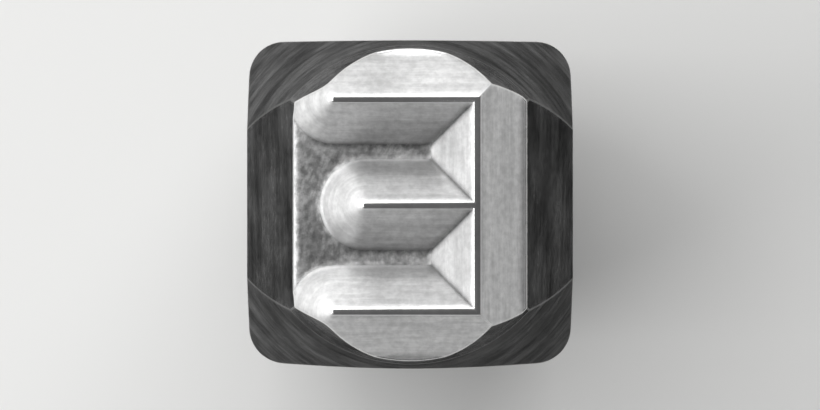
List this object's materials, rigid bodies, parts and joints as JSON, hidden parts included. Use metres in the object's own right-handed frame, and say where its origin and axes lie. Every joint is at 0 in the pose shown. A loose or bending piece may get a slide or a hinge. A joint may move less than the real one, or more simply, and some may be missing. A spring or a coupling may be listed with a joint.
{
  "type": "steel letter punch",
  "caption": "Square steel hand punch whose tapered head carries a reversed block letter in ridged relief for stamping, with a bevelled end to strike.",
  "frame": {"origin": "centre of the flat struck end, which the punch stands on", "axes": "+Z along the punch towards the letter, +X towards the side of the letter's spine, +Y towards the letter's top"},
  "size_m": [0.0094, 0.0094, 0.064],
  "materials": {
    "tool_steel": "bright machined letter and floor, satin dark steel on the tapers and the shank"
  },
  "bodies": {
    "root": {"letter_punch": "tool_steel"}
  },
  "joints": []
}
